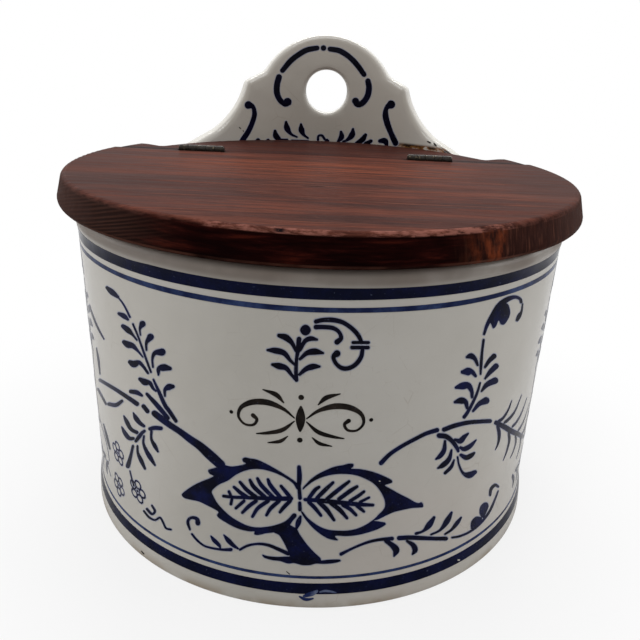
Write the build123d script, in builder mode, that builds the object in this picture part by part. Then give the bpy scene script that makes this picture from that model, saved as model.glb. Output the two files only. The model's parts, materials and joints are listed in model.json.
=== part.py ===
from build123d import *
import os
from math import atan2, cos, degrees, hypot, radians, sin

# Round earthenware salt box with a crest to hang it by, and a wooden lid cut in two
# across: the rear board is screwed to the crest and carries the hinged front board.
# Units are millimetres. +Z is up, the front faces -Y, and the origin is the centre of
# the pot's underside.

# ---- Driving dimensions: pot ----
rim_height = 102.0
wall = 6.8                  # fired wall at the rim, and the thickness of the crest
floor = 7.0
lip_radius = 79.3
foot_inset = 1.2            # the rest of the wall stands in from the lip by these amounts
waist_inset = 2.5           # and draws in a little above the foot
belly_inset = 1.8
neck_inset = 0.9
waist_height = 15.0
belly_height = 55.0
neck_drop = 12.0            # the neck lies below the rim by this much
lip_height = 5.0            # the last stretch below the rim is upright
floor_inset = 8.9           # the inside is a little narrower at the floor than at the mouth
inner_corner_round = 9.0
foot_round = 0.6
rim_outer_round = 2.2
rim_inner_round = 2.4

# ---- Driving dimensions: crest, half widths from the middle and heights above the rim ----
crest_height = 52.1
dome_radius = 27.3
dome_foot_height = 37.0     # where the dome meets its shoulders
shoulder_half = 32.0
shoulder_height = 32.9
sweep_mid_half = 35.3
sweep_mid_height = 23.5
sweep_end_half = 43.5
sweep_end_height = 13.6
toe_inset = 1.0             # the toes lean in by this much
toe_height = 6.7
crest_angle = 50.08         # the crest reaches round the mouth by this to each side
dome_foot_round = 3.0
shoulder_round = 2.6
toe_round = 2.4
crest_bevel = 1.0
hang_hole_radius = 8.7
hang_hole_height = 29.7

# ---- Driving dimensions: lid boards ----
lid_overhang = 6.7          # the lid's radius beyond the lip's
lid_setback = 4.7           # the lid's centre lies behind the pot's axis
board_thickness = 9.3
edge_slope = 2.2            # the edge leans in by this much towards the top
edge_lower_round = 2.1
edge_upper_round = 1.8
joint_y = 32.0              # the saw cut between the two boards
joint_gap = 0.3
rail_inset = 2.0            # the rear board is cut a little smaller than the front one
rail_wall_gap = 0.3         # between the rear board and the crest
horn_gap = 1.2              # between the crest's toe and the notch cut beside it
notch_width = 9.6           # along the mouth, from that side of the notch to its root
notch_cover = 0.2           # the root lies over the lip by this much, so the pot stays covered
horn_slant = 35.0           # degrees, of a horn's inner edge to the saw cut
horn_tip_round = 6.0
horn_root_round = 2.0

# ---- Driving dimensions: butt hinges ----
hinge_spacing = 85.6
hinge_shift = -3.0          # the pair is fitted a little to the left
hinge_length = 16.0
axis_rise = 0.4             # hinge axis above the top of the boards
barrel_radius = 1.5
pin_radius = 0.75
pin_clearance = 0.05
pin_head_radius = 1.1
pin_head_height = 0.4
knuckle_count = 5
knuckle_gap = 0.16
leaf_thickness = 0.7
leaf_gap = 0.1              # between the two closed leaves
leaf_drop = 7.4             # lower edge of a leaf below the axis
leaf_clearance = 0.15       # between a leaf and the other leaf's knuckles
mortise_clearance = 0.1
barrel_clearance = 0.3      # between the barrel and its groove in the boards

# ---- Driving dimensions: fasteners ----
leaf_screw_radius = 0.7
leaf_screw_length = 7.5
leaf_screw_head_radius = 1.35
leaf_screw_head_height = 0.6
leaf_screw_half_spacing = 4.6
leaf_screw_slot = 0.35
leaf_screw_slot_depth = 0.3
pilot_clearance = 0.02
rail_screw_angle = 24.0     # to each side of the middle, seen from above
rail_screw_radius = 1.75
rail_screw_bite = 15.0      # length in the wood
rail_screw_head_radius = 3.6
rail_screw_head_height = 2.3
rail_screw_head_round = 1.9
rail_screw_slot = 0.8
rail_screw_slot_depth = 1.0
rail_screw_hole_clearance = 0.45
washer_radius = 4.8
washer_thickness = 1.0
washer_hole_clearance = 0.25
screw_point_length = 2.5
screw_tip_radius = 0.1

# ---- Derived places ----
foot_radius = lip_radius - foot_inset
crest_inner_radius = lip_radius - wall
lid_radius = lip_radius + lid_overhang
crest_half = crest_inner_radius * sin(radians(crest_angle))
toe_half = crest_half - toe_inset
crest_base = -lip_height / 2        # below the rim, as the crest stands in the lip
board_top = rim_height + board_thickness
axis_z = board_top + axis_rise
leaf_near = leaf_gap / 2
leaf_far = leaf_near + leaf_thickness
leaf_top = axis_z - barrel_radius - leaf_clearance
leaf_bottom = axis_z - leaf_drop
leaf_screw_z = (leaf_top + leaf_bottom) / 2
leaf_screw_head_angle = 2 * degrees(
    atan2(leaf_screw_head_radius - leaf_screw_radius, leaf_screw_head_height)
)
knuckle_length = (hinge_length - (knuckle_count - 1) * knuckle_gap) / knuckle_count
knuckle_pitch = knuckle_length + knuckle_gap
rail_screw_z = rim_height + board_thickness / 2
rail_arc_radius = crest_inner_radius - rail_wall_gap
reach = 2 * lid_radius      # longer than anything that it cuts or projects on
hinges = {
    "left": hinge_shift - hinge_spacing / 2,
    "right": hinge_shift + hinge_spacing / 2,
}


def finish(part, label):
    """Name a finished piece and write its STEP file."""
    part.label = label
    export_step(part, f"parts/{label}.step")


def turned_board(radius):
    """A round board with a sloping edge, resting on the rim."""
    with BuildPart() as board:
        with BuildSketch(Plane.XZ) as section:
            with BuildLine():
                Polyline(
                    (0, rim_height),
                    (radius, rim_height),
                    (radius - edge_slope, board_top),
                    (0, board_top),
                    close=True,
                )
            make_face()
            fillet(section.vertices().sort_by_distance((radius, rim_height))[0], edge_lower_round)
            fillet(section.vertices().sort_by_distance((radius, board_top))[0], edge_upper_round)
        revolve(axis=Axis.Z)
    return board.part.moved(Location((0, lid_setback, 0)))


def along_x(x, y, z):
    """A plane square to the hinge axis."""
    return Plane((x, y, z), x_dir=(0, 1, 0), z_dir=(1, 0, 0))


def hinge_cuts(side):
    """The room for leaves, barrels and screws in one board; side is -1 front, 1 rear."""
    depth = leaf_far + mortise_clearance
    low = leaf_bottom - mortise_clearance
    groove_length = hinge_length + 2 * (pin_head_height + barrel_clearance)
    with BuildPart() as cuts:
        for x in hinges.values():
            with Locations((x, joint_y + side * depth / 2, (low + axis_z) / 2)):
                Box(hinge_length + 2 * mortise_clearance, depth, axis_z - low)
            with BuildSketch(along_x(x - groove_length / 2, joint_y, axis_z)):
                Circle(barrel_radius + barrel_clearance)
            extrude(amount=groove_length)
            for seat in leaf_screw_seats(x, side):
                with BuildSketch(seat):
                    Circle(leaf_screw_radius + pilot_clearance)
                extrude(amount=-leaf_screw_length - pilot_clearance)
    return cuts.part


def hinge_leaf(x, side, first_knuckle):
    """One leaf of a closed butt hinge: a plate with every second knuckle of the barrel."""
    knuckles = range(first_knuckle, knuckle_count, 2)
    starts = [x - hinge_length / 2 + index * knuckle_pitch for index in knuckles]
    plate_y = joint_y + side * (leaf_near + leaf_thickness / 2)
    with BuildPart() as leaf:
        with Locations((x, plate_y, (leaf_bottom + leaf_top) / 2)):
            Box(hinge_length, leaf_thickness, leaf_top - leaf_bottom)
        for start in starts:
            with Locations((start + knuckle_length / 2, plate_y, (leaf_top + axis_z) / 2)):
                Box(knuckle_length, leaf_thickness, axis_z - leaf_top)
            with BuildSketch(along_x(start, joint_y, axis_z)):
                Circle(barrel_radius)
            extrude(amount=knuckle_length)
        with BuildSketch(along_x(x - hinge_length / 2, joint_y, axis_z)):
            Circle(pin_radius + pin_clearance)
        extrude(amount=hinge_length, mode=Mode.SUBTRACT)
        for seat in leaf_screw_seats(x, side):
            with Locations(seat):
                CounterSinkHole(
                    leaf_screw_radius + pilot_clearance,
                    leaf_screw_head_radius + pilot_clearance,
                    depth=leaf_thickness,
                    counter_sink_angle=leaf_screw_head_angle,
                )
    return leaf.part


def leaf_screw_seats(x, side):
    """Planes on the near face of a leaf, facing out of the wood, one for each screw."""
    return [
        Plane((x + offset, joint_y + side * leaf_near, leaf_screw_z), z_dir=(0, -side, 0))
        for offset in (-leaf_screw_half_spacing, leaf_screw_half_spacing)
    ]


def rail_screw_frame(sign, radius):
    """A plane square to one rail screw, facing away from the pot's axis."""
    angle = radians(rail_screw_angle)
    outward = Vector(sign * sin(angle), cos(angle), 0)
    return Plane((radius * outward.X, radius * outward.Y, rail_screw_z), z_dir=outward)


def shank(radius, length):
    """A screw's shank and point below its seat, along -Z."""
    with BuildPart() as body:
        with BuildSketch(Plane.XZ):
            with BuildLine():
                Polyline(
                    (0, 0),
                    (radius, 0),
                    (radius, screw_point_length - length),
                    (screw_tip_radius, -length),
                    (0, -length),
                    close=True,
                )
            make_face()
        revolve(axis=Axis.Z)
    return body.part


os.makedirs("parts", exist_ok=True)

# ---- Pot: one fired piece, a turned body with the crest rising from its back wall ----
dome_foot_half = (dome_radius**2 - (dome_radius - crest_height + dome_foot_height) ** 2) ** 0.5
dome_top = (0, crest_height)
dome_foot = (dome_foot_half, dome_foot_height)
shoulder = (shoulder_half, shoulder_height)
sweep_end = (sweep_end_half, sweep_end_height)
toe = (toe_half, toe_height)

with BuildSketch(Plane.XZ) as crest_outline:
    with BuildLine():
        RadiusArc(dome_top, dome_foot, dome_radius)
        Line(dome_foot, shoulder)
        ThreePointArc(shoulder, (sweep_mid_half, sweep_mid_height), sweep_end)
        Line(sweep_end, toe)
        Polyline(toe, (crest_half, crest_base), (0, crest_base), dome_top)
    make_face()
    for corner, corner_round in (
        (shoulder, shoulder_round),
        (dome_foot, dome_foot_round),
        (toe, toe_round),
    ):
        fillet(crest_outline.vertices().sort_by_distance(corner)[0], corner_round)
    mirror(about=Plane.YZ)

with BuildPart() as mouth_core:
    Cylinder(crest_inner_radius, 2 * reach)

# The outline, drawn from the rim up, is laid on the inside of the wall and thickened
# square to it.
crest_skins = crest_outline.sketch.faces()[0].project_to_shape(mouth_core.part, (0, 1, 0))

with BuildPart() as crest:
    thicken(crest_skins.sort_by(Axis.Y)[-1], amount=wall)
    crest_rims = [
        edge
        for edge in crest.edges()
        if edge.bounding_box().max.Z > 0
        and abs(hypot((edge @ 0).X, (edge @ 0).Y) - hypot((edge @ 1).X, (edge @ 1).Y)) < wall / 2
    ]
    chamfer(crest_rims, crest_bevel)

with BuildPart() as pot:
    add(crest.part.moved(Location((0, 0, rim_height))))
    with BuildSketch(Plane.XZ) as wall_section:
        with BuildLine():
            Spline(
                (foot_radius, 0),
                (lip_radius - waist_inset, waist_height),
                (lip_radius - belly_inset, belly_height),
                (lip_radius - neck_inset, rim_height - neck_drop),
                (lip_radius, rim_height - lip_height),
                tangents=((0, 1), (0, 1)),
            )
            Polyline(
                (lip_radius, rim_height - lip_height),
                (lip_radius, rim_height),
                (crest_inner_radius, rim_height),
                (crest_inner_radius, rim_height - lip_height),
                (lip_radius - floor_inset, floor),
                (0, floor),
                (0, 0),
                (foot_radius, 0),
            )
        make_face()
        for corner, corner_round in (
            ((lip_radius, rim_height), rim_outer_round),
            ((crest_inner_radius, rim_height), rim_inner_round),
            ((lip_radius - floor_inset, floor), inner_corner_round),
            ((foot_radius, 0), foot_round),
        ):
            fillet(wall_section.vertices().sort_by_distance(corner)[0], corner_round)
    revolve(axis=Axis.Z)

    with BuildSketch(Plane.XZ):
        with Locations((0, rim_height + hang_hole_height)):
            Circle(hang_hole_radius)
    extrude(amount=-reach, mode=Mode.SUBTRACT)
    for sign in (-1, 1):
        with BuildSketch(rail_screw_frame(sign, crest_inner_radius)):
            Circle(rail_screw_radius + rail_screw_hole_clearance)
        extrude(amount=wall, both=True, mode=Mode.SUBTRACT)
finish(pot.part, "pot")

# ---- Lid flap: the front board, which opens ----
flap_blank = turned_board(lid_radius)
flap_cuts = hinge_cuts(-1)

with BuildPart() as lid_flap:
    add(flap_blank)
    split(bisect_by=Plane((0, joint_y - joint_gap / 2, 0), z_dir=(0, 1, 0)), keep=Keep.BOTTOM)
    add(flap_cuts, mode=Mode.SUBTRACT)
finish(lid_flap.part, "lid_flap")

# ---- Hinge rail: the fixed rear board, notched for the crest, with a horn at each end ----
rail_radius = lid_radius - rail_inset
rail_blank = turned_board(rail_radius)
rail_cuts = hinge_cuts(1)
notch_angle = radians(90 - crest_angle) - horn_gap / crest_inner_radius
notch_shoulder = Vector(rail_arc_radius * cos(notch_angle), rail_arc_radius * sin(notch_angle))
root_angle = notch_angle - notch_width / crest_inner_radius
root_radius = crest_inner_radius + notch_cover
notch_root = Vector(root_radius * cos(root_angle), root_radius * sin(root_angle))
horn_way = Vector(cos(radians(horn_slant)), sin(radians(horn_slant)))
from_centre = notch_root - Vector(0, lid_setback)
along_way = from_centre.dot(horn_way)
horn_length = (along_way**2 - from_centre.length**2 + rail_radius**2) ** 0.5 - along_way
horn_tip = notch_root + horn_way * horn_length
notch_far = notch_root + horn_way * reach

with BuildPart() as hinge_rail:
    add(rail_blank)
    with BuildSketch(Plane.XY.offset(rim_height)) as rail_plan:
        with Locations((0, lid_setback)):
            Circle(rail_radius)
        with Locations((0, joint_y + joint_gap / 2)):
            Rectangle(reach, reach, align=(Align.CENTER, Align.MAX), mode=Mode.SUBTRACT)
        with BuildLine():
            right = [(p.X, p.Y) for p in (notch_shoulder, notch_root, notch_far)]
            left = [(-p.X, p.Y) for p in (notch_shoulder, notch_root, notch_far)]
            ThreePointArc(right[0], (0, rail_arc_radius), left[0])
            Polyline(*left, *reversed(right))
        make_face(mode=Mode.SUBTRACT)
        for sign in (-1, 1):
            root = (sign * notch_root.X, notch_root.Y)
            fillet(rail_plan.vertices().sort_by_distance(root)[0], horn_root_round)
            tip = (sign * horn_tip.X, horn_tip.Y)
            fillet(rail_plan.vertices().sort_by_distance(tip)[0], horn_tip_round)
    extrude(amount=board_thickness, mode=Mode.INTERSECT)
    add(rail_cuts, mode=Mode.SUBTRACT)
    for sign in (-1, 1):
        with BuildSketch(rail_screw_frame(sign, crest_inner_radius)):
            Circle(rail_screw_radius + pilot_clearance)
        extrude(amount=-rail_wall_gap - rail_screw_bite - pilot_clearance, mode=Mode.SUBTRACT)
finish(hinge_rail.part, "hinge_rail")

# ---- Butt hinges: a leaf on each board and a headed pin through the barrel ----
for name, x in hinges.items():
    finish(hinge_leaf(x, 1, 0), f"{name}_hinge_rail_leaf")
    finish(hinge_leaf(x, -1, 1), f"{name}_hinge_flap_leaf")

    with BuildPart() as hinge_pin:
        with BuildSketch(along_x(x - hinge_length / 2, joint_y, axis_z)):
            Circle(pin_radius)
        extrude(amount=hinge_length)
        for start in (x - hinge_length / 2 - pin_head_height, x + hinge_length / 2):
            with BuildSketch(along_x(start, joint_y, axis_z)):
                Circle(pin_head_radius)
            extrude(amount=pin_head_height)
    finish(hinge_pin.part, f"{name}_hinge_pin")

# ---- Leaf screws: countersunk, slotted, two in each leaf ----
leaf_screw_shank = shank(leaf_screw_radius, leaf_screw_length)

with BuildPart() as leaf_screw:
    add(leaf_screw_shank)
    with Locations((0, 0, -leaf_screw_head_height / 2)):
        Cone(leaf_screw_radius, leaf_screw_head_radius, leaf_screw_head_height)
    with Locations((0, 0, -leaf_screw_slot_depth / 2)):
        Box(
            2 * leaf_screw_head_radius,
            leaf_screw_slot,
            leaf_screw_slot_depth,
            mode=Mode.SUBTRACT,
        )

for board, side in (("rail", 1), ("flap", -1)):
    with BuildPart() as leaf_screws:
        for x in hinges.values():
            for seat in leaf_screw_seats(x, side):
                add(seat.location * leaf_screw.part)
    finish(leaf_screws.part, f"{board}_leaf_screws")

# ---- Rail fixings: round-head screws with washers, driven from behind through the crest ----
rail_screw_shank = shank(rail_screw_radius, washer_thickness + wall + rail_wall_gap + rail_screw_bite)

with BuildPart() as rail_screw:
    with BuildSketch():
        Circle(rail_screw_head_radius)
    extrude(amount=rail_screw_head_height)
    fillet(rail_screw.edges().sort_by(Axis.Z)[-1], rail_screw_head_round)
    add(rail_screw_shank)
    with Locations((0, 0, rail_screw_head_height - rail_screw_slot_depth / 2)):
        Box(2 * rail_screw_head_radius, rail_screw_slot, rail_screw_slot_depth, mode=Mode.SUBTRACT)

with BuildPart() as rail_fixing_screws:
    for sign in (-1, 1):
        add(rail_screw_frame(sign, lip_radius + washer_thickness).location * rail_screw.part)
finish(rail_fixing_screws.part, "rail_fixing_screws")

with BuildPart() as rail_fixing_washers:
    for sign in (-1, 1):
        with BuildSketch(rail_screw_frame(sign, lip_radius)):
            Circle(washer_radius)
            Circle(rail_screw_radius + washer_hole_clearance, mode=Mode.SUBTRACT)
        extrude(amount=washer_thickness)
finish(rail_fixing_washers.part, "rail_fixing_washers")
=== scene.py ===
import json
import math

import bpy
import numpy as np
from mathutils import Matrix, Vector
from mathutils.geometry import delaunay_2d_cdt


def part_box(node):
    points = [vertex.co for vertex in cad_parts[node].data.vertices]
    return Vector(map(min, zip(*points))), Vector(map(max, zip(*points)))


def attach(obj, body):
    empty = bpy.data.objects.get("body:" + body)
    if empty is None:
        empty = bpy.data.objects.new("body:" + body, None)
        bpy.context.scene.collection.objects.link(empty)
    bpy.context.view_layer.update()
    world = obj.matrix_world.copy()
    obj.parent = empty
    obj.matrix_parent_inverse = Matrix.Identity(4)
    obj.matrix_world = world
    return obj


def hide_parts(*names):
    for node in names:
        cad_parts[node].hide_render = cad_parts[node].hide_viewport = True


# A round earthenware salt box with a crest to hang it by and a hinged wooden lid, dressed over its CAD frame.
# Sizes are in millimetres, but noise scales, bump depths and lamps are in metres. Colours are sRGB.
# +Z is up and the front faces -Y.

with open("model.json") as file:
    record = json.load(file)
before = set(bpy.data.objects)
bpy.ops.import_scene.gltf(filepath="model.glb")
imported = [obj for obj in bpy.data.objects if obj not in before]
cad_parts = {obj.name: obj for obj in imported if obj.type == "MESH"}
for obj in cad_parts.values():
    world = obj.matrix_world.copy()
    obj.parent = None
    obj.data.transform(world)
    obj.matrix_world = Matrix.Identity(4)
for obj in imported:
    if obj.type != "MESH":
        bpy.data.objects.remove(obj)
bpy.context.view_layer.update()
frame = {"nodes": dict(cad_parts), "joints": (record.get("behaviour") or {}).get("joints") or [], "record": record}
MM = 0.001


def measured(metres):
    """A length read from the frame, in millimetres."""
    return round(float(metres) / MM, 3)


# ---- sizes
hang_hole = next(m for m in frame["record"]["mounts"] if m["name"] == "hang_hole")
HOLE_Z = measured(hang_hole["pos_m"][2])
HOLE_R = hang_hole["dims"]["r_mm"]
LIP_R = measured(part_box("pot")[1].x)
RIM = measured(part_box("lid_flap")[0].z)
JOINT_Y = measured(frame["joints"][0]["pos_m"][1])
HINGE_X = [measured(sum(v.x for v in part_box(f"{side}_hinge_pin")) / 2) for side in ("left", "right")]

WALL_THICKNESS = 6.8
MOUTH_R = LIP_R - WALL_THICKNESS
FLOOR_Z = 7.0
FLOOR_R = 70.4
FLOOR_CORNER = 9.0
FOOT_R = 78.0
FOOT_CORNER = 0.7
TOP_ROUND = 2.3             # the rounding of the rim's and the crest's edges
HOLE_ROUND = 1.5

# the crest: half widths from the middle, and heights above the rim
CREST_TOP = 52.1
DOME_R = 27.3
DOME_FOOT = 37.0            # where the dome meets its shoulders
SHOULDER = (32.0, 32.9)
SWEEP_MID = (35.3, 23.5)
SWEEP_END = (43.5, 13.6)
TOE = (54.6, 6.7)
CREST_HALF = 55.6

ARC_R = 78.0                # arc lengths round the wall are counted at this radius
FILM = 0.05                 # painted films stand off the glaze by this much
FILM_ROOT = -0.08           # and reach into it by this much

# ---- camera, fitted to the photograph
PHOTO = 640.0
SENSOR = 36.0
CAM_POS = np.array([0.03, -236.94, 152.55])
YAW, PITCH, ROLL = 0.0226, 0.3553, 0.0474
FOCAL, CENTRE_X, CENTRE_Y = 708.06, 333.24, 302.05

forward = np.array([math.sin(YAW) * math.cos(PITCH), math.cos(YAW) * math.cos(PITCH), -math.sin(PITCH)])
level = np.array([math.cos(YAW), -math.sin(YAW), 0.0])
upright = np.cross(level, forward)
cam_right = math.cos(ROLL) * level + math.sin(ROLL) * upright
cam_up = -math.sin(ROLL) * level + math.cos(ROLL) * upright


def linked(name, data):
    """A new object in the scene."""
    obj = bpy.data.objects.new(name, data)
    bpy.context.scene.collection.objects.link(obj)
    return obj


camera = linked("camera", bpy.data.cameras.new("camera"))
axes = Matrix(np.array([cam_right, cam_up, -forward]).T.tolist())
camera.matrix_world = Matrix.Translation(Vector(CAM_POS * MM)) @ axes.to_4x4()
camera.data.sensor_width = SENSOR
camera.data.lens = FOCAL * SENSOR / PHOTO
camera.data.shift_x = 0.5 - CENTRE_X / PHOTO
camera.data.shift_y = CENTRE_Y / PHOTO - 0.5
camera.data.clip_start = 0.01
camera.data.clip_end = 20.0
bpy.context.scene.camera = camera


# ---- node helpers
def srgb(colour):
    """An sRGB colour, each part 0 to 255, as the linear colour that a shader takes."""
    linear = [c / 255 / 12.92 if c <= 10 else ((c / 255 + 0.055) / 1.055) ** 2.4 for c in colour]
    return (*linear, 1.0)


class Net:
    """The node tree of a material or world, with short ways to add nodes."""

    def __init__(self, owner):
        self.owner = owner
        owner.use_nodes = True
        self.tree = owner.node_tree
        self.tree.nodes.clear()

    def put(self, socket, value):
        if isinstance(value, bpy.types.NodeSocket):
            self.tree.links.new(value, socket)
        else:
            socket.default_value = value

    def node(self, kind, inputs=None, **props):
        n = self.tree.nodes.new(kind)
        for key, value in props.items():
            setattr(n, key, value)
        for key, value in (inputs or {}).items():
            self.put(n.inputs[key], value)
        return n

    def coords(self, kind):
        """Coordinates on the object itself, which turn with it: "Object" (metres) or "Normal"."""
        return self.node("ShaderNodeTexCoord").outputs[kind]

    def math(self, op, a, b=0.0, c=0.0):
        return self.node("ShaderNodeMath", {0: a, 1: b, 2: c}, operation=op).outputs[0]

    def times(self, *values):
        product = values[0]
        for value in values[1:]:
            product = self.math("MULTIPLY", product, value)
        return product

    def off(self, value, at):
        """How far a value is from a fixed one."""
        return self.math("ABSOLUTE", self.math("ADD", value, -at))

    def scaled(self, x, y, z, vector=None):
        v = vector or self.coords("Object")
        return self.node("ShaderNodeVectorMath", {0: v, 1: (x, y, z)}, operation="MULTIPLY").outputs[0]

    def parts(self, vector):
        return self.node("ShaderNodeSeparateXYZ", {0: vector}).outputs[:3]

    def vector(self, x, y, z):
        return self.node("ShaderNodeCombineXYZ", {0: x, 1: y, 2: z}).outputs[0]

    def place(self):
        """The place on the object, x, y and z in millimetres."""
        return self.parts(self.scaled(1 / MM, 1 / MM, 1 / MM))

    def noise(self, scale, vector=None, detail=4.0, rough=0.5):
        v = vector or self.coords("Object")
        ins = {"Vector": v, "Scale": scale, "Detail": detail, "Roughness": rough}
        return self.node("ShaderNodeTexNoise", ins).outputs[0]

    def grain(self, x, y, z, vector=None, detail=4.0, rough=0.5):
        """Noise with its own scale along each axis."""
        return self.noise(1.0, self.scaled(x, y, z, vector), detail, rough)

    def cells(self, scale, feature="F1"):
        """The distance to the nearest point or edge of random cells."""
        ins = {"Vector": self.coords("Object"), "Scale": scale}
        return self.node("ShaderNodeTexVoronoi", ins, feature=feature).outputs["Distance"]

    def fade(self, value, low, high, to_low=0.0, to_high=1.0):
        """value mapped from low..high to to_low..to_high, smooth and clamped."""
        ins = {"Value": value, "From Min": low, "From Max": high, "To Min": to_low, "To Max": to_high}
        return self.node("ShaderNodeMapRange", ins, interpolation_type="SMOOTHSTEP").outputs[0]

    def span(self, value, start, low, high, end):
        """1 where value lies between low and high, fading to 0 at start and at end."""
        return self.times(self.fade(value, start, low), self.fade(value, end, high))

    def near(self, value, at, full, end):
        """1 where value is no further than full from at, fading to 0 at the distance end."""
        return self.fade(self.off(value, at), end, full)

    def over(self, under, colour, *strengths):
        """A colour laid over another, as strongly as the product of the strengths. Both may be sRGB."""
        under, colour = (srgb(c) if isinstance(c, tuple) else c for c in (under, colour))
        ins = {0: self.times(*strengths), 6: under, 7: colour}
        return self.node("ShaderNodeMix", ins, data_type="RGBA").outputs[2]

    def ramp(self, value, *stops):
        """Colours between stops, each a place and an sRGB colour."""
        n = self.node("ShaderNodeValToRGB", {0: value})
        while len(n.color_ramp.elements) < len(stops):
            n.color_ramp.elements.new(0.5)
        for element, (at, colour) in zip(n.color_ramp.elements, stops):
            element.position = at
            element.color = srgb(colour)
        return n.outputs[0]

    def bump(self, height, strength, distance, under=None):
        ins = {"Height": height, "Strength": strength, "Distance": distance}
        if under is not None:
            ins["Normal"] = under
        return self.node("ShaderNodeBump", ins).outputs[0]

    def surface(self, **inputs):
        named = {key.replace("_", " "): value for key, value in inputs.items()}
        return self.node("ShaderNodeBsdfPrincipled", named).outputs[0]

    def finish(self, kind, shader):
        self.node(kind, {0: shader})
        return self.owner

    def surfaced(self, **inputs):
        """The finished material, with one plain surface."""
        return self.finish("ShaderNodeOutputMaterial", self.surface(**inputs))


def material(name):
    return Net(bpy.data.materials.new(name))


# ---- glaze and colours on it
def glaze_roughness(n):
    return n.fade(n.noise(60, detail=3), 0.35, 0.7, 0.1, 0.2)


def glaze_bump(n):
    soft = n.bump(n.noise(45, detail=2), 0.35, 0.0012)
    return n.bump(n.noise(420, detail=2), 0.12, 0.00025, soft)


def make_glaze():
    """White glaze: clouded and crazed, with painted shade on the crest's face and a painted highlight on its rim,
    painted shade and some brown staining under the lid, patchy darker brown at the foot, and a bare ring to stand
    on.
    """
    n = material("glaze_white")
    x, y, z = n.place()
    facing = n.parts(n.coords("Normal"))[1]
    cloud = n.noise(14, detail=5, rough=0.6)
    base = n.ramp(cloud, (0.3, (186, 182, 173)), (0.55, (195, 191, 183)), (0.75, (201, 198, 191)))
    # pinkish pools
    pool = n.fade(n.grain(9, 9, 14.4, detail=3), 0.5, 0.72)
    base = n.over(base, (194, 182, 173), pool, 0.35)
    # the crest: its face, which looks to the front, is painted darker and a little yellower as painted shade, and
    # its upper rim is painted whiter as a painted highlight where it faces the light from above
    crest = n.fade(z, 106, 112)
    base = n.over(base, (160, 150, 134), crest, n.fade(facing, -0.8, -0.95, 0, 0.34))
    base = n.over(base, (218, 215, 207), crest, n.span(facing, -0.8, -0.4, 0.5, 0.9), 0.9)
    # crazing: two nets of fine lines, broken up, and stained in places
    nets = []
    for scale, width, strength in ((95, 0.012, 1), (260, 0.02, 0.45)):
        lines = n.fade(n.cells(scale, "DISTANCE_TO_EDGE"), 0, width, 1, 0)
        broken = n.fade(n.noise(scale * 1.4, detail=2), 0.5, 0.62)
        nets.append(n.times(lines, broken, strength))
    stain = n.fade(n.noise(22, rough=0.65), 0.44, 0.68, 0.04, 0.4)
    base = n.over(base, (138, 118, 98), n.math("MAXIMUM", *nets), stain)
    # painted shade under the lid, darkest close to it, with some brown staining in it; and patchy darker brown
    # along the foot
    under_lid = n.times(n.fade(z, 108, 103), n.fade(y, 60, 40))
    patchy = n.fade(n.noise(40, detail=3), 0.3, 0.7, 0.15, 0.45)
    base = n.over(base, (124, 106, 92), n.fade(z, 93.5, 100), under_lid, patchy)
    # the darker line just under the lid's edge is a painted shadow of the lid
    patchy = n.fade(n.noise(50, detail=3), 0.25, 0.6, 0.3, 0.65)
    line = n.times(n.span(z, 95.8, 99, 102.2, 103.5), under_lid, patchy)
    base = n.over(base, (82, 64, 52), line)
    patchy = n.fade(n.noise(110, detail=5), 0.35, 0.65, 0.1, 0.8)
    base = n.over(base, (150, 134, 112), n.fade(z, 4, 0), patchy)
    # a brown crust where the rail meets the crest, on the right
    out = n.math("SQRT", n.math("ADD", n.times(x, x), n.times(y, y)))
    flakes = n.grain(210, 210, 420, detail=5, rough=0.65)
    low = n.span(z, 109.8, 110.4, 112.4, 113.6)
    corner = n.times(n.fade(x, 26, 34), n.fade(out, 74.5, 73.5), n.fade(y, 20, 30))
    rust = n.ramp(flakes, (0.45, (128, 84, 42)), (0.58, (40, 28, 20)))
    base = n.over(base, rust, low, corner, n.fade(flakes, 0.36, 0.48))
    # the ring it stands on is bare clay
    bare = n.times(n.span(out, 69, 70.5, 76.4, 77.2), n.fade(z, 0.4, 0.1))
    clay = n.ramp(n.noise(180, detail=5), (0.35, (150, 130, 104)), (0.6, (188, 172, 146)))
    base = n.over(base, clay, bare)
    rough = n.math("MAXIMUM", glaze_roughness(n), n.times(n.math("MAXIMUM", bare, line), 0.8))
    return n.surfaced(Base_Color=base, Roughness=rough, Normal=glaze_bump(n), Specular_IOR_Level=0.25)


def make_colour(name, dark, light, spread=(0.35, 0.72)):
    """A colour painted on or under the glaze, pooling between a dark and a light tone."""
    n = material(name)
    flow = n.fade(n.noise(160, rough=0.6), *spread)
    base = n.ramp(flow, (0, dark), (1, light))
    pin_holes = n.fade(n.noise(1500, detail=2), 0.66, 0.8)
    base = n.over(base, (120, 130, 160), pin_holes, 0.25)
    rough = glaze_roughness(n)
    return n.surfaced(Base_Color=base, Roughness=rough, Normal=glaze_bump(n), Specular_IOR_Level=0.06)


GLAZE = make_glaze()
COBALT = make_colour("cobalt_dark", (4, 5, 24), (9, 17, 62))
COBALT_DARK = make_colour("cobalt_deep", (4, 3, 14), (9, 9, 34))
COBALT_BAND = make_colour("cobalt_band", (3, 7, 32), (8, 15, 52))
COBALT_THIN = make_colour("cobalt_thin", (20, 30, 66), (52, 68, 108))
WASH = make_colour("cobalt_bleed", (150, 154, 172), (166, 168, 182))
SMEAR = make_colour("cobalt_smear", (28, 42, 86), (96, 106, 134), (0.4, 0.6))
OVERGLAZE = make_colour("overglaze_black", (22, 18, 16), (52, 44, 38), (0.42, 0.85))


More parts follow.
